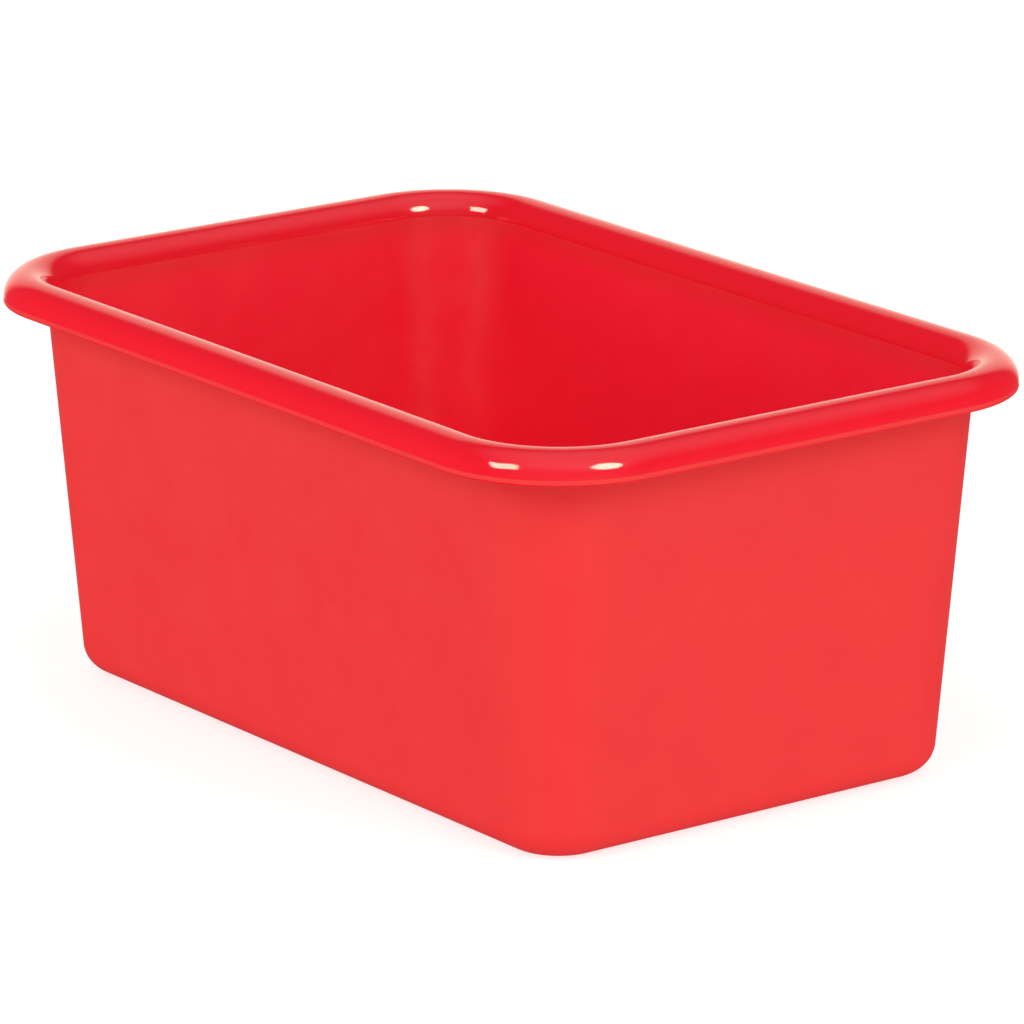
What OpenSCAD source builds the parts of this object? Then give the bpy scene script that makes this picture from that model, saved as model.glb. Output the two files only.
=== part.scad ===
// Open storage bin for art supplies: one injection moulding with drafted walls,
// a rounded foot and a rolled rim that is open underneath.
// Origin at the middle of the footprint, on the surface that the bin stands on.
// X runs along the length, Y across the width, Z up.

/* [Overall] */
// Length over the rim, mm
bin_l = 290; // [120:1:400]
// Width over the rim, mm
bin_w = 196; // [100:1:300]
// Height from the foot to the top of the rim, mm
bin_h = 125; // [50:1:190]
// Corner radius of the rim's outer edge, seen from above, mm
corner_r = 41; // [34:0.5:49]

/* [Walls] */
// Wall thickness, mm
wall_t = 2; // [1.2:0.1:3]
// Lean of the walls from the vertical, degrees
draft = 4.9; // [0.5:0.1:7]
// Outer radius of the edge between the walls and the base, mm
foot_r = 9; // [4:0.5:14]

/* [Base] */
// Thickness of the base, measured at the foot ring, mm
base_t = 2.4; // [1.6:0.1:4]
// Depth of the recess under the base, mm
recess_h = 0.6; // [0.3:0.1:1]
// Width of the flat foot ring around the recess, mm
foot_ring_w = 4; // [2:0.5:8]
// Diameter of the mark left by the moulding gate, mm
gate_d = 4; // [2:0.5:8]
// Height of the mark left by the moulding gate, mm
gate_h = 0.3; // [0.1:0.05:0.3]

/* [Rim] */
// Outer radius of the half-round crown of the rim, mm
crown_r = 7.4; // [5:0.1:9]
// Height of the straight skirt below the crown, mm
skirt_h = 1.8; // [0.6:0.1:12]
// Radius that rounds the two edges of the skirt's lower lip, mm
lip_r = 0.6; // [0.2:0.1:0.9]

/* [Hidden] */
$fn = 96;

// The section turns about these corner centres, so that each corner is a true cone
centre_x = bin_l / 2 - corner_r;
centre_y = bin_w / 2 - corner_r;

// In the section, x is the distance from a corner's centre line and y is the height
crown_c = [corner_r - crown_r, bin_h - crown_r];
skirt_low = crown_c.y - skirt_h;
lip_round = min(lip_r, 0.45 * wall_t, skirt_h);
foot_in_r = foot_r - wall_t;
arc_steps = 8;
lip_steps = 3;

// Where a wall face is at height y; depth is 0 on the inner face and wall_t on the outer
function wall_x(y, depth) =
    crown_c.x - (crown_r - depth) / cos(draft) - (crown_c.y - y) * tan(draft);

// Centre of the arc of radius r that rounds a wall face into the level y
function foot_centre(r, y, depth) = [wall_x(y + r, depth) - r / cos(draft), y + r];

// Points of an arc from angle a to angle b, without the first one if skip is 1
function arc(centre, r, a, b, steps = arc_steps, skip = 0) = [
    for (i = [skip : steps])
        let (turn = a + (b - a) * i / steps)
            centre + r * [cos(turn), sin(turn)]
];

// The two arcs over the crown meet at the top, so that the height is exact
function crown_arc(r) = concat(
    arc(crown_c, r, 0, 90),
    arc(crown_c, r, 90, 180 - draft, skip = 1)
);

function backwards(points) = [for (i = [len(points) - 1 : -1 : 0]) points[i]];

// The recess keeps its own corner, so that a sharp foot still leaves it one
foot_flat_x = foot_centre(foot_r, 0, wall_t).x;
recess_corner_r = max(foot_flat_x - foot_ring_w, 1);
recess_inset = foot_flat_x - foot_ring_w - recess_corner_r;

// Half section through base, wall and rim: up the outside, over the rim, down the inside
module bin_section() {
    polygon(concat(
        [[0, 0]],
        arc(foot_centre(foot_r, 0, wall_t), foot_r, -90, -draft),
        backwards(crown_arc(crown_r - wall_t)),
        arc([corner_r - wall_t + lip_round, skirt_low + lip_round], lip_round, 180, 270, lip_steps),
        arc([corner_r - lip_round, skirt_low + lip_round], lip_round, 270, 360, lip_steps),
        crown_arc(crown_r),
        arc(foot_centre(foot_in_r, base_t, 0), foot_in_r, -draft, -90),
        [[0, base_t]]
    ));
}

// Carries a section round a rectangle with rounded corners; x and y are the corner centres
module around(x, y) {
    for (turn = [0 : 3]) {
        across = turn % 2 == 0 ? x : y;
        along = turn % 2 == 0 ? y : x;
        rotate(90 * turn) translate([across, along, 0]) {
            rotate_extrude(angle = 90) children();
            rotate([90, 0, 0]) linear_extrude(2 * along) children();
        }
    }
}

// Recess under the base, with sides at 45 degrees; the gate's mark stands in it
module base_recess() {
    x = centre_x + recess_inset;
    y = centre_y + recess_inset;
    difference() {
        union() {
            around(x, y) polygon([
                [0, -recess_h],
                [recess_corner_r + 2 * recess_h, -recess_h],
                [recess_corner_r, recess_h],
                [0, recess_h]
            ]);
            translate([-x, -y, -recess_h]) cube([2 * x, 2 * y, 2 * recess_h]);
        }
        translate([0, 0, recess_h - gate_h]) cylinder(d = gate_d, h = recess_h);
    }
}

module bin() color("#e8282c") {
    difference() {
        union() {
            around(centre_x, centre_y) bin_section();
            translate([-centre_x, -centre_y, 0]) cube([2 * centre_x, 2 * centre_y, base_t]);
        }
        base_recess();
    }
}

bin();
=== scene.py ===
"""Open storage bin: one moulding with satin walls, a glossy rolled rim and a semi-gloss inside."""

import math

import bmesh
import bpy
from bpy.props import FloatProperty, FloatVectorProperty, PointerProperty
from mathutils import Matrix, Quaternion, Vector


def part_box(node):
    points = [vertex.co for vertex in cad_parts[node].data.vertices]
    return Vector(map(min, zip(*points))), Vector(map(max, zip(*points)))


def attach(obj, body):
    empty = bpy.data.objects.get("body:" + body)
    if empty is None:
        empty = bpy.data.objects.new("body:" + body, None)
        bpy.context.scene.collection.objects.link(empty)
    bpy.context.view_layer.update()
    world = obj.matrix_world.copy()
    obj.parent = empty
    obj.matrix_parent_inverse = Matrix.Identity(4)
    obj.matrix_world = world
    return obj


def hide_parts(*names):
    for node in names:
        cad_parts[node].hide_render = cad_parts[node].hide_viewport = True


bl_info = {
    "name": "Storage Bin",
    "version": (1, 0, 0),
    "blender": (4, 5, 0),
    "location": "View3D > Sidebar > Storage Bin",
    "description": "Builds a moulded plastic storage bin and a small studio round it",
    "category": "Add Mesh",
}

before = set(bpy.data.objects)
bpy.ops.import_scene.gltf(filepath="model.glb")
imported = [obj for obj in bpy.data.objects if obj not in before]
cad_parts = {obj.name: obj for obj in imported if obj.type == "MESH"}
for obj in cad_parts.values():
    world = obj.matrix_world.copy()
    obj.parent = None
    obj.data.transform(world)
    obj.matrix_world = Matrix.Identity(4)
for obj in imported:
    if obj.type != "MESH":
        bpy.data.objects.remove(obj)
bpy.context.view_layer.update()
BIN_LOW, BIN_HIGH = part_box("bin")


# ---------------------------------------------------------------- settings


def length(name, description, default):
    """A size in metres."""
    return FloatProperty(
        name=name, description=description, default=default, unit="LENGTH", precision=5
    )


def angle(name, description, degrees):
    """An angle, given and shown in degrees."""
    return FloatProperty(
        name=name, description=description, default=math.radians(degrees), unit="ROTATION"
    )


def colour(name, description, default):
    """A linear colour."""
    return FloatVectorProperty(
        name=name, description=description, default=default, subtype="COLOR", size=3, min=0, max=1
    )


def factor(name, description, default):
    """A number from 0 to 1."""
    return FloatProperty(
        name=name, description=description, default=default, min=0, max=1, subtype="FACTOR"
    )


def strength(name, description, default):
    """The radiance of a light."""
    return FloatProperty(name=name, description=description, default=default, min=0)


class BinSizes(bpy.types.PropertyGroup):
    """Sizes of the moulding."""

    overall: FloatVectorProperty(
        name="Overall Size",
        description="Length, width and height over the rim",
        default=[high - low for low, high in zip(BIN_LOW, BIN_HIGH)],
        unit="LENGTH",
        size=3,
    )
    corner_radius: length("Corner Radius", "Outer edge of the rim, seen from above", 0.041)
    wall: length("Wall", "Wall thickness", 0.002)
    draft: angle("Draft", "Lean of the walls from the vertical", 4.9)
    foot_radius: length("Foot Radius", "Outer edge between walls and base", 0.009)
    base: length("Base", "Thickness of the base at the foot ring", 0.0024)
    recess: length("Recess", "Depth of the recess under the base", 0.0006)
    foot_ring: length("Foot Ring", "Width of the flat ring round the recess", 0.004)
    gate_radius: length("Gate Mark Radius", "Mark left by the moulding gate", 0.002)
    gate_height: length("Gate Mark Height", "Mark left by the moulding gate", 0.0003)
    crown_radius: length("Crown Radius", "Outer radius of the half-round rim", 0.0074)
    skirt: length("Skirt", "Straight skirt below the crown", 0.0018)
    lip_radius: length("Lip Radius", "Rounding on the skirt's lower edge", 0.0006)
    bow_long: length("Bow, Long Sides", "How far the long sides pull in at the rim", 0.0004)
    bow_short: length("Bow, Short Sides", "How far the short sides pull in at the rim", 0.0002)


class BinFinish(bpy.types.PropertyGroup):
    """Colours and surface of the plastic; the rim's and the inside's colours hold painted light."""

    wall_colour: colour("Wall Colour", "Outer walls and base", (0.69, 0.008, 0.011))
    wall_shade: colour("Wall Shade", "Slow drift of the wall colour", (0.68, 0.007, 0.010))
    wall_roughness: factor("Wall Roughness", "Satin outer walls", 0.55)
    wall_specular: factor("Wall Specular", "Sheen of the outer walls", 0.32)
    grain: length("Grain", "Width of one grain of the moulded texture", 0.00045)
    grain_depth: length("Grain Depth", "Depth of the moulded texture", 0.00003)
    # The rim's reds are a little lighter and bluer than the walls' reds; the extra lightness is
    # painted light on the rim.
    rim_red_with_painted_light: colour("Rim Colour", "Rolled rim", (0.71, 0.009, 0.022))
    rim_drift_with_painted_light: colour("Rim Shade", "Slow drift on the rim", (0.70, 0.008, 0.020))
    rim_roughness: factor("Rim Roughness", "Polished rim", 0.08)
    rim_specular: factor("Rim Specular", "Shine of the rim", 0.167)
    # The inside's reds are lighter than the walls' reds: painted light that brightens the inner walls
    # and floor.
    inside_red_with_painted_light: colour("Inside Colour", "Inner walls and floor", (0.81, 0.007, 0.030))
    inside_drift_with_painted_light: colour("Inside Shade", "Slow drift on the inside", (0.80, 0.006, 0.028))
    inside_roughness: factor("Inside Roughness", "Semi-gloss inside", 0.31)
    inside_specular: factor("Inside Specular", "Shine of the inside", 0.4)
    blend: length("Blend", "Height over which the inside takes on the rim's colour", 0.008)


class StageSettings(bpy.types.PropertyGroup):
    """Floor, lights and camera."""

    floor_colour: colour("Floor Colour", "Plain pale floor", (0.35, 0.35, 0.35))
    floor_roughness: factor("Floor Roughness", "Matt floor", 0.9)
    floor_glow: strength("Floor Glow", "Light that comes up through the floor", 0.7)
    floor_side: length("Floor Side", "Side of the square floor", 24)
    backdrop_radius: length("Backdrop Radius", "Radius of the pale backdrop all round", 12)
    backdrop_glow: strength("Backdrop Glow", "Brightness of the backdrop at the horizon", 1.2)
    zenith_glow: strength("Zenith Glow", "Brightness of the backdrop overhead", 0.5)
    softbox_distance: length("Softbox Distance", "From the bin to each softbox", 6)
    softbox_power: strength("Softbox Power", "Turns all the softboxes up or down together", 1)
    softbox_colour: colour("Softbox Colour", "Slightly warm white", (1.0, 0.93, 0.68))
    surround: strength("Surround", "Even light of the dim room", 0.12)
    camera_azimuth: angle("Camera Azimuth", "Round the bin from the long side's front", 53.23)
    camera_elevation: angle("Camera Elevation", "Above the horizon", 16.056)
    camera_distance: length("Camera Distance", "From the aim point", 2.1026)
    camera_lens: FloatProperty(
        name="Camera Lens", description="Focal length", default=250.16, unit="CAMERA"
    )
    aim_height: length("Aim Height", "Height of the aim point before the offsets", 0.06)
    aim_right: length("Aim Right", "Offset of the aim point to the camera's right", 0.00357)
    aim_up: length("Aim Up", "Offset of the aim point to the camera's top", 0.0032)


# ---------------------------------------------------------------- the section of the moulding

# The finish of each stretch of the section is the number of its material
SATIN, GLOSS, INSIDE = 0, 1, 2
# A step of an arc is the wider of this turn and this length in metres, with at least so many steps
ARC_TURN = math.radians(4.5)
ARC_CHORD = 0.00012
ARC_LEAST = 4
# Steps round each corner of the bin, and the size of a face on its flat sides
CORNER_STEPS = 24
CELL = 0.005
# The extra points near the ends of a straight stretch stand off by the smaller of these metres
# and this share of a step
NEAR_END = 0.0008
NEAR_SHARE = 0.2
# Points closer than this are one point: in metres, and as decimals of a metre
SAME = 1e-7
SAME_DECIMALS = 7


def arc(centre, radius, start, end):
    """Points along an arc in the section, both ends included."""
    turn = abs(end - start)
    steps = max(ARC_LEAST, math.ceil(min(turn / ARC_TURN, radius * turn / ARC_CHORD)))
    angles = [start + (end - start) * i / steps for i in range(steps + 1)]
    return [(centre[0] + radius * math.cos(a), centre[1] + radius * math.sin(a)) for a in angles]


def straight(start, end):
    """Points strictly between two points, with one close to each end to keep the flat flat."""
    span = math.dist(start, end)
    steps = max(1, round(span / CELL))
    near = min(NEAR_SHARE / steps, NEAR_END / span)
    shares = [near] + [i / steps for i in range(1, steps)] + [1 - near]
    return [(start[0] + (end[0] - start[0]) * s, start[1] + (end[1] - start[1]) * s) for s in shares]


class Section:
    """The half section through base, wall and rim: points (distance from corner centre, height)."""

    def __init__(self, sizes):
        self.sizes = sizes
        self.corner_x = sizes.overall[0] / 2 - sizes.corner_radius
        self.corner_y = sizes.overall[1] / 2 - sizes.corner_radius
        self.crown = (sizes.corner_radius - sizes.crown_radius, sizes.overall[2] - sizes.crown_radius)
        self.points = []
        self.finishes = []
        self.trace_underside()
        self.trace_outside()
        self.trace_rim()
        self.trace_inside()

    def foot_centre(self, radius, level, depth):
        """Centre of the arc that rounds a wall face into a level; depth 0 is the inner face."""
        lean = self.sizes.draft
        height = level + radius
        across = (self.sizes.crown_radius - depth + radius) / math.cos(lean)
        return (self.crown[0] - across - (self.crown[1] - height) * math.tan(lean), height)

    def follow(self, points, finish):
        """Adds points; the stretch that leads to each of them has this finish."""
        for p in points:
            if not self.points or math.dist(p, self.points[-1]) > SAME:
                self.points.append(p)
                self.finishes.append(finish)

    def line(self, end, finish):
        """Adds a straight stretch, its end included."""
        self.follow(straight(self.points[-1], end) + [end], finish)

    def trace_underside(self):
        """From the middle of the recess to the flat ring that the bin stands on."""
        sizes = self.sizes
        foot_x = self.foot_centre(sizes.foot_radius, 0, sizes.wall)[0]
        edge = foot_x - sizes.foot_ring
        soft = sizes.recess / 3
        up, out = math.pi / 2, math.pi / 4
        inner = arc((edge - soft, sizes.recess - soft), soft, up, out)
        outer = arc((edge + sizes.recess, soft), soft, out - math.pi, -up)
        self.follow([(0, sizes.recess)], SATIN)
        self.line(inner[0], SATIN)
        self.follow(inner + outer, SATIN)
        self.line((foot_x, 0), SATIN)

    def trace_outside(self):
        """Round the foot and up the outer wall to the channel under the rim."""
        sizes = self.sizes
        foot = self.foot_centre(sizes.foot_radius, 0, sizes.wall)
        self.follow(arc(foot, sizes.foot_radius, -math.pi / 2, -sizes.draft), SATIN)
        self.channel = arc(self.crown, sizes.crown_radius - sizes.wall, math.pi - sizes.draft, 0)
        self.line(self.channel[0], SATIN)

    def trace_rim(self):
        """Through the channel, round the lip and over the crown to the inner wall."""
        sizes = self.sizes
        lip = sizes.lip_radius
        lip_height = self.crown[1] - sizes.skirt + lip
        lip_in = arc((sizes.corner_radius - sizes.wall + lip, lip_height), lip, math.pi, 1.5 * math.pi)
        lip_out = arc((sizes.corner_radius - lip, lip_height), lip, -math.pi / 2, 0)
        crown = arc(self.crown, sizes.crown_radius, 0, math.pi - sizes.draft)
        self.follow(self.channel, GLOSS)
        self.line(lip_in[0], GLOSS)
        self.follow(lip_in + lip_out, GLOSS)
        self.line(crown[0], SATIN)
        self.follow(crown, GLOSS)

    def trace_inside(self):
        """Down the inner wall, round the inner foot and over the floor to its middle."""
        sizes = self.sizes
        radius = sizes.foot_radius - sizes.wall
        foot = arc(self.foot_centre(radius, sizes.base, 0), radius, -sizes.draft, -math.pi / 2)
        self.line(foot[0], INSIDE)
        self.follow(foot, INSIDE)
        self.line((0, sizes.base), INSIDE)


# ---------------------------------------------------------------- the mesh of the moulding


class MeshMaker:
    """Collects faces, sharing the points that coincide."""

    def __init__(self):
        self.points = []
        self.index = {}
        self.faces = []
        self.finishes = []

    def vertex(self, p):
        """The number of a point."""
        key = tuple(round(v, SAME_DECIMALS) for v in p)
        if key not in self.index:
            self.index[key] = len(self.points)
            self.points.append(p)
        return self.index[key]

    def face(self, corners, finish):
        """Adds a face, dropping the corners that repeat."""
        ring = list(dict.fromkeys(self.vertex(c) for c in corners))
        if len(ring) > 2:
            self.faces.append(ring)
            self.finishes.append(finish)


def side_marks(half):
    """Evenly spaced marks along a straight side from -half to half, with one in the middle."""
    steps = 2 * round(half / CELL)
    return [half * (2 * i / steps - 1) for i in range(steps + 1)]


def outline(section):
    """Where the section stands round the bin: (corner centre or point between them, its turn)."""
    cx, cy = section.corner_x, section.corner_y
    sides = (
        ((cx, cy), [(-x, cy) for x in side_marks(cx)]),
        ((-cx, cy), [(-cx, -y) for y in side_marks(cy)]),
        ((-cx, -cy), [(x, -cy) for x in side_marks(cx)]),
        ((cx, -cy), [(cx, y) for y in side_marks(cy)]),
    )
    stands = []
    for k, (corner, side) in enumerate(sides):
        turns = [math.pi / 2 * (k + i / CORNER_STEPS) for i in range(CORNER_STEPS + 1)]
        stands += [(corner, turn) for turn in turns]
        stands += [(place, turns[-1]) for place in side[1:-1]]
    return stands


def sweep(maker, section):
    """Carries the section round the outline."""
    rings = []
    for (x, y), turn in outline(section):
        c, s = math.cos(turn), math.sin(turn)
        rings.append([(x + r * c, y + r * s, z) for r, z in section.points])
    for ring, following in zip(rings, rings[1:] + rings[:1]):
        for i in range(1, len(ring)):
            corners = (ring[i - 1], following[i - 1], following[i], ring[i])
            maker.face(corners, section.finishes[i])


def middle(maker, section, level, finish, underside):
    """Fills the rectangle between the corner centres; the underside keeps a hole for the gate."""
    xs, ys = side_marks(section.corner_x), side_marks(section.corner_y)
    for x0, x1 in zip(xs, xs[1:]):
        for y0, y1 in zip(ys, ys[1:]):
            by_gate = max(abs(x0 + x1), abs(y0 + y1)) / 2 < CELL
            if underside and by_gate:
                continue
            corners = [(x0, y0, level), (x1, y0, level), (x1, y1, level), (x0, y1, level)]
            maker.face(corners[::-1] if underside else corners, finish)


# The flat collar round the gate mark, in gate radii, and its points for each point of the hole
GATE_COLLAR = 1.4
GATE_FAN = 4


def gate_mark(maker, section):
    """Fills the hole in the underside with the small round mark left by the gate."""
    sizes = section.sizes
    dx = section.corner_x / round(section.corner_x / CELL)
    dy = section.corner_y / round(section.corner_y / CELL)
    around = ((1, 0), (1, 1), (0, 1), (-1, 1), (-1, 0), (-1, -1), (0, -1), (1, -1))
    hole = [(dx * i, dy * j, sizes.recess) for i, j in around]
    low = sizes.recess - sizes.gate_height
    soft = sizes.gate_height / 2
    collar = GATE_COLLAR * sizes.gate_radius
    profile = [(collar, sizes.recess), (sizes.gate_radius, sizes.recess)]
    profile += arc((sizes.gate_radius - soft, low + soft), soft, 0, -math.pi / 2)
    profile.append((sizes.gate_radius / 2, low))
    count = GATE_FAN * len(hole)
    turns = [2 * math.pi * k / count for k in range(count)]
    rings = [[(r * math.cos(t), r * math.sin(t), z) for t in turns] for r, z in profile]
    rings.append([(0, 0, low)] * count)
    for k in range(count):
        n = (k + 1) % count
        for a, b in zip(rings, rings[1:]):
            maker.face((a[n], a[k], b[k], b[n]), SATIN)
        nearest = hole[(k + GATE_FAN // 2) // GATE_FAN % len(hole)]
        following = hole[(n + GATE_FAN // 2) // GATE_FAN % len(hole)]
        maker.face((following, nearest, rings[0][k], rings[0][n]), SATIN)


def bowed(point, sizes):
    """Pulls the sides in a little, most in the middle of a side and at the rim."""
    x, y, z = point
    across, along = abs(x) / (sizes.overall[0] / 2), abs(y) / (sizes.overall[1] / 2)
    rise = z / sizes.overall[2]
    in_x = sizes.bow_short * rise * across**3 * (1 - along**2) ** 2
    in_y = sizes.bow_long * rise * along**3 * (1 - across**2) ** 2
    return (x - math.copysign(in_x, x), y - math.copysign(in_y, y), z)


def check_closed(mesh):
    """Raises an error unless every edge joins two faces that turn the same way."""
    used = set()
    for polygon in mesh.polygons:
        corners = list(polygon.vertices)
        for pair in zip(corners, corners[1:] + corners[:1]):
            if pair in used:
                raise RuntimeError(f"two faces of {mesh.name} turn against each other")
            used.add(pair)
    if any((b, a) not in used for a, b in used):
        raise RuntimeError(f"{mesh.name} isn't closed")


def bin_mesh(sizes):
    """The whole moulding as one closed mesh, its sides bowed in."""
    section = Section(sizes)
    maker = MeshMaker()
    sweep(maker, section)
    middle(maker, section, sizes.base, INSIDE, underside=False)
    middle(maker, section, sizes.recess, SATIN, underside=True)
    gate_mark(maker, section)
    mesh = bpy.data.meshes.new("bin_moulding")
    mesh.from_pydata([bowed(p, sizes) for p in maker.points], [], maker.faces)
    mesh.polygons.foreach_set("material_index", maker.finishes)
    mesh.polygons.foreach_set("use_smooth", [True] * len(maker.faces))
    mesh.update()
    check_closed(mesh)
    return mesh


# ---------------------------------------------------------------- materials


# Most of a noise's values lie between these two
NOISE_MIDDLE = (0.3, 0.7)


class Layout:
    """A material's nodes, placed in the object's own coordinates."""

    def __init__(self, name):
        self.material = bpy.data.materials.new(name)
        self.material.use_nodes = True
        self.tree = self.material.node_tree
        self.tree.nodes.clear()
        self.place = self.tree.nodes.new("ShaderNodeTexCoord").outputs["Object"]
        self.shader = self.tree.nodes.new("ShaderNodeBsdfPrincipled")
        output = self.tree.nodes.new("ShaderNodeOutputMaterial")
        self.link(self.shader.outputs["BSDF"], output.inputs["Surface"])

    def link(self, output, socket):
        """Joins two sockets."""
        self.tree.links.new(output, socket)

    def lumps(self, width, detail, roughness=0.5):
        """Noise whose lumps are about this wide, in metres."""
        node = self.tree.nodes.new("ShaderNodeTexNoise")
        node.inputs["Scale"].default_value = 1 / width
        node.inputs["Detail"].default_value = detail
        node.inputs["Roughness"].default_value = roughness
        self.link(self.place, node.inputs["Vector"])
        return node.outputs["Fac"]

    def ramp(self, value, start, end, low, high, smooth=False):
        """A number that runs from low to high while the value runs from start to end."""
        node = self.tree.nodes.new("ShaderNodeMapRange")
        node.interpolation_type = "SMOOTHSTEP" if smooth else "LINEAR"
        node.inputs["From Min"].default_value = start
        node.inputs["From Max"].default_value = end
        node.inputs["To Min"].default_value = low
        node.inputs["To Max"].default_value = high
        self.link(value, node.inputs["Value"])
        return node.outputs["Result"]

    def spread(self, noise, low, high):
        """A number that runs from low to high over the middle of the noise."""
        return self.ramp(noise, *NOISE_MIDDLE, low, high)

    def height(self):
        """The height in the object's own coordinates, in metres."""
        node = self.tree.nodes.new("ShaderNodeSeparateXYZ")
        self.link(self.place, node.inputs["Vector"])
        return node.outputs["Z"]

    def between(self, amount, first, second):
        """A colour between two colours, each given as numbers or as another node's output."""
        node = self.tree.nodes.new("ShaderNodeMix")
        node.data_type = "RGBA"
        sockets = {s.identifier: s for s in node.inputs}
        for value, socket in ((first, sockets["A_Color"]), (second, sockets["B_Color"])):
            if isinstance(value, bpy.types.NodeSocket):
                self.link(value, socket)
            else:
                socket.default_value = (*value, 1)
        self.link(amount, sockets["Factor_Float"])
        return next(s for s in node.outputs if s.identifier == "Result_Color")

    def bump(self, height, depth, under=None):
        """A bump of this depth in metres, on top of another."""
        node = self.tree.nodes.new("ShaderNodeBump")
        node.inputs["Distance"].default_value = depth
        self.link(height, node.inputs["Height"])
        if under:
            self.link(under, node.inputs["Normal"])
        return node.outputs["Normal"]


# Widths of the lumps in metres: slow colour drift, patches of uneven gloss
DRIFT_WIDTH = 0.09
GLOSS_WIDTH = 0.015
# How far the roughness strays from its value, as a share
GLOSS_SPREAD = 0.1
# The slow waviness of moulded plastic: width and depth in metres
RIPPLE = (0.03, 0.00004)
# The inside's texture against the walls' grain: wider and shallower by this much
INSIDE_SOFTER = 3
PLASTIC_IOR = 1.5


def plastic(name, colours, roughness, specular, bumps, top=None):
    """Coloured polypropylene: slow colour drift, uneven gloss and layered bumps (width, depth).

    A top (colour, low, high) is the colour that the plastic turns into between two heights.
    """
    nodes = Layout(name)
    drift = nodes.spread(nodes.lumps(DRIFT_WIDTH, detail=3), 0, 1)
    tint = nodes.between(drift, *colours)
    if top:
        top_colour, low, high = top
        share = nodes.ramp(nodes.height(), low, high, 0, 1, smooth=True)
        tint = nodes.between(share, tint, top_colour)
    nodes.link(tint, nodes.shader.inputs["Base Color"])
    dull, shiny = roughness * (1 + GLOSS_SPREAD), roughness * (1 - GLOSS_SPREAD)
    gloss = nodes.spread(nodes.lumps(GLOSS_WIDTH, detail=4, roughness=0.6), shiny, dull)
    nodes.link(gloss, nodes.shader.inputs["Roughness"])
    normal = None
    for width, depth in bumps:
        normal = nodes.bump(nodes.lumps(width, detail=2), depth, normal)
    nodes.link(normal, nodes.shader.inputs["Normal"])
    nodes.shader.inputs["IOR"].default_value = PLASTIC_IOR
    nodes.shader.inputs["Specular IOR Level"].default_value = specular
    return nodes.material


def bin_materials(finish, sizes):
    """Satin, gloss and inside finishes, in the order of their numbers; the gloss and inside reds hold
    painted light.
    """
    grain = (finish.grain, finish.grain_depth)
    soft_grain = (finish.grain * INSIDE_SOFTER, finish.grain_depth / INSIDE_SOFTER)
    walls = (finish.wall_colour, finish.wall_shade)
    rim = (finish.rim_red_with_painted_light, finish.rim_drift_with_painted_light)
    inside = (finish.inside_red_with_painted_light, finish.inside_drift_with_painted_light)
    crown_height = sizes.overall[2] - sizes.crown_radius
    # Under the crown the inside's lighter red, which is painted light, fades into the rim's red.
    top = (finish.rim_red_with_painted_light, crown_height - finish.blend, crown_height)
    return (
        plastic(
            "satin_walls", walls, finish.wall_roughness, finish.wall_specular, (RIPPLE, grain)
        ),
        plastic("gloss_rim", rim, finish.rim_roughness, finish.rim_specular, (RIPPLE,)),
        plastic(
            "semi_gloss_inside",
            inside,
            finish.inside_roughness,
            finish.inside_specular,
            (RIPPLE, soft_grain),
            top,
        ),
    )


# ---------------------------------------------------------------- stage


def direction(azimuth, elevation):
    """Unit vector from the bin at this azimuth from the front of its long side, and elevation."""
    flat = math.cos(elevation)
    return Vector((math.sin(azimuth) * flat, -math.cos(azimuth) * flat, math.sin(elevation)))


def floor(scene, stage):
    """The plain floor that the bin stands on, lit from below so that its shadows stay pale."""
    half = stage.floor_side / 2
    corners = [(-half, -half, 0), (half, -half, 0), (half, half, 0), (-half, half, 0)]
    mesh = bpy.data.meshes.new("floor")
    mesh.from_pydata(corners, [], [(0, 1, 2, 3)])
    sheet = Layout("pale_floor")
    sheet.shader.inputs["Base Color"].default_value = (*stage.floor_colour, 1)
    sheet.shader.inputs["Roughness"].default_value = stage.floor_roughness
    sheet.shader.inputs["Emission Color"].default_value = (1, 1, 1, 1)
    sheet.shader.inputs["Emission Strength"].default_value = stage.floor_glow
    sheet.material.cycles.emission_sampling = "NONE"
    mesh.materials.append(sheet.material)
    obj = bpy.data.objects.new("floor", mesh)
    obj.visible_glossy = False
    scene.collection.objects.link(obj)


def backdrop(scene, stage):
    """A pale dome all round, dimmer overhead, which shiny surfaces don't show."""
    mesh = bpy.data.meshes.new("backdrop")
    form = bmesh.new()
    bmesh.ops.create_icosphere(form, subdivisions=4, radius=stage.backdrop_radius)
    form.to_mesh(mesh)
    form.free()
    sheet = Layout("pale_backdrop")
    sheet.shader.inputs["Base Color"].default_value = (0, 0, 0, 1)
    sheet.shader.inputs["Emission Color"].default_value = (1, 1, 1, 1)
    horizon, zenith = stage.backdrop_glow, stage.zenith_glow
    glow = sheet.ramp(sheet.height(), 0, stage.backdrop_radius, horizon, zenith)
    sheet.link(glow, sheet.shader.inputs["Emission Strength"])
    sheet.material.cycles.emission_sampling = "NONE"
    mesh.materials.append(sheet.material)
    obj = bpy.data.objects.new("backdrop", mesh)
    obj.visible_glossy = False
    obj.visible_transmission = False
    obj.visible_shadow = False
    scene.collection.objects.link(obj)


# Soft lights: name, shape, azimuth, elevation, angular width and height and roll in degrees, then
# the glow of the face as shiny surfaces show it and as it lights matt surfaces
SOFTBOXES = (
    ("left_softbox", "RECTANGLE", 6, 32.8, 20, 20, 20, 54, 6.2),
    ("right_softbox", "ELLIPSE", 95, 36, 22, 24, -18, 66, 6.2),
    ("left_side_fill", "RECTANGLE", -38, 10, 40, 20, 0, 0, 2.1),
    ("right_side_fill", "RECTANGLE", 132, 10, 40, 20, 0, 0, 1.3),
)


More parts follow.
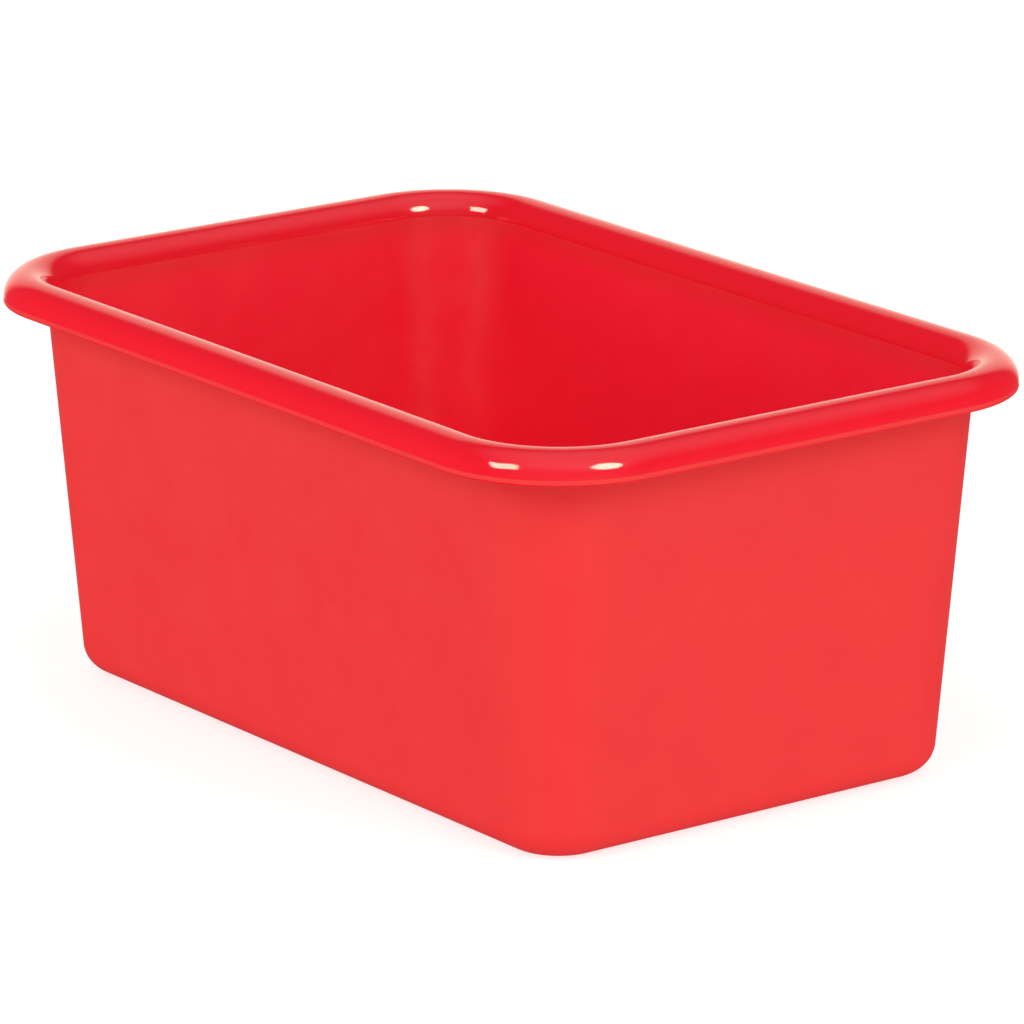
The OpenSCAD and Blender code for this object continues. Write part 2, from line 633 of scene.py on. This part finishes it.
def softbox(scene, stage, name, shape, azimuth, elevation, width, height, roll, gloss, fill):
    """A soft light that faces the bin; its sizes are angles as seen from the bin."""
    away = direction(math.radians(azimuth), math.radians(elevation))
    turn = (-away).to_track_quat("-Z", "Y") @ Quaternion((0, 0, 1), math.radians(roll))
    for part, glow in (("gloss", gloss), ("fill", fill)):
        if not glow:
            continue
        light = bpy.data.lights.new(f"{name}_{part}", "AREA")
        light.shape = shape
        light.size = 2 * stage.softbox_distance * math.tan(math.radians(width / 2))
        light.size_y = 2 * stage.softbox_distance * math.tan(math.radians(height / 2))
        face = light.size * light.size_y * (math.pi / 4 if shape == "ELLIPSE" else 1)
        light.energy = stage.softbox_power * glow * math.pi * face
        light.color = stage.softbox_colour if part == "gloss" else (1, 1, 1)
        obj = bpy.data.objects.new(light.name, light)
        obj.visible_diffuse = part == "fill"
        obj.visible_glossy = part == "gloss"
        obj.location = away * stage.softbox_distance
        obj.rotation_mode = "QUATERNION"
        obj.rotation_quaternion = turn
        scene.collection.objects.link(obj)


# Soft patches of light round the bin, in degrees: azimuth, elevation, where each starts to fade,
# where it ends, and its colour times its strength
PATCHES = (
    (235, 12, 22, 38, (1.60, 1.45, 1.20)),
    (85, 72, 10, 60, (2.40, 2.40, 2.40)),
    (60, 20, 25, 65, (0.66, 0.70, 0.80)),
    (95, -45, 35, 60, (0.50, 0.50, 0.50)),
)


def sky(scene, stage):
    """The dim room, with its soft patches of light, that shiny surfaces show."""
    world = bpy.data.worlds.new("sky")
    world.use_nodes = True
    world.cycles.sampling_method = "NONE"
    world.cycles_visibility.diffuse = False
    tree = world.node_tree
    tree.nodes.clear()
    place = tree.nodes.new("ShaderNodeTexCoord").outputs["Generated"]
    total = None
    for azimuth, elevation, inner, outer, light in PATCHES:
        near = tree.nodes.new("ShaderNodeVectorMath")
        near.operation = "DOT_PRODUCT"
        near.inputs[1].default_value = direction(math.radians(azimuth), math.radians(elevation))
        tree.links.new(place, near.inputs[0])
        fade = tree.nodes.new("ShaderNodeMapRange")
        fade.interpolation_type = "SMOOTHSTEP"
        fade.inputs["From Min"].default_value = math.cos(math.radians(outer))
        fade.inputs["From Max"].default_value = math.cos(math.radians(inner))
        tree.links.new(near.outputs["Value"], fade.inputs["Value"])
        patch = tree.nodes.new("ShaderNodeVectorMath")
        patch.operation = "MULTIPLY_ADD"
        patch.inputs[1].default_value = light
        patch.inputs[2].default_value = (stage.surround,) * 3
        tree.links.new(fade.outputs["Result"], patch.inputs[0])
        if total:
            tree.links.new(total, patch.inputs[2])
        total = patch.outputs["Vector"]
    background = tree.nodes.new("ShaderNodeBackground")
    output = tree.nodes.new("ShaderNodeOutputWorld")
    tree.links.new(total, background.inputs["Color"])
    tree.links.new(background.outputs["Background"], output.inputs["Surface"])
    scene.world = world


def camera(scene, stage):
    """The long-lens camera."""
    lens = bpy.data.cameras.new("camera")
    lens.lens = stage.camera_lens
    lens.clip_end = 2 * stage.backdrop_radius
    obj = bpy.data.objects.new("camera", lens)
    back = direction(stage.camera_azimuth, stage.camera_elevation)
    right = Vector((math.cos(stage.camera_azimuth), math.sin(stage.camera_azimuth), 0))
    aim = Vector((0, 0, stage.aim_height)) + right * stage.aim_right + back.cross(right) * stage.aim_up
    obj.location = aim + back * stage.camera_distance
    obj.rotation_euler = (-back).to_track_quat("-Z", "Y").to_euler()
    scene.collection.objects.link(obj)
    scene.camera = obj


# ---------------------------------------------------------------- operators and panel


class BIN_OT_moulding(bpy.types.Operator):
    """Build the moulding in place of its frame part"""

    bl_idname = "storage_bin.moulding"
    bl_label = "Build Moulding"

    def execute(self, context):
        piece = bpy.data.objects.new("bin_moulding", bin_mesh(context.scene.bin_sizes))
        for material in bin_materials(context.scene.bin_finish, context.scene.bin_sizes):
            piece.data.materials.append(material)
        context.scene.collection.objects.link(piece)
        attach(piece, "root")
        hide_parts("bin")
        return {"FINISHED"}


class BIN_OT_stage(bpy.types.Operator):
    """Build the floor, the lights and the camera"""

    bl_idname = "storage_bin.stage"
    bl_label = "Build Stage"

    def execute(self, context):
        scene = context.scene
        stage = scene.bin_stage
        floor(scene, stage)
        backdrop(scene, stage)
        for box in SOFTBOXES:
            softbox(scene, stage, *box)
        sky(scene, stage)
        camera(scene, stage)
        scene.view_settings.view_transform = "Standard"
        return {"FINISHED"}


class BIN_PT_panel(bpy.types.Panel):
    """Sizes, finish and stage of the storage bin"""

    bl_idname = "BIN_PT_panel"
    bl_label = "Storage Bin"
    bl_space_type = "VIEW_3D"
    bl_region_type = "UI"
    bl_category = "Storage Bin"

    def draw(self, context):
        scene = context.scene
        groups = (
            (scene.bin_sizes, None),
            (scene.bin_finish, BIN_OT_moulding),
            (scene.bin_stage, BIN_OT_stage),
        )
        for group, operator in groups:
            box = self.layout.box()
            for name in group.bl_rna.properties.keys():
                if name not in ("rna_type", "name"):
                    box.prop(group, name)
            if operator:
                box.operator(operator.bl_idname)


CLASSES = (BinSizes, BinFinish, StageSettings, BIN_OT_moulding, BIN_OT_stage, BIN_PT_panel)


def register():
    for cls in CLASSES:
        bpy.utils.register_class(cls)
    bpy.types.Scene.bin_sizes = PointerProperty(type=BinSizes)
    bpy.types.Scene.bin_finish = PointerProperty(type=BinFinish)
    bpy.types.Scene.bin_stage = PointerProperty(type=StageSettings)


def unregister():
    del bpy.types.Scene.bin_stage
    del bpy.types.Scene.bin_finish
    del bpy.types.Scene.bin_sizes
    for cls in reversed(CLASSES):
        bpy.utils.unregister_class(cls)


def main():
    register()
    bpy.ops.storage_bin.moulding()
    bpy.ops.storage_bin.stage()


if __name__ == "__main__":
    main()
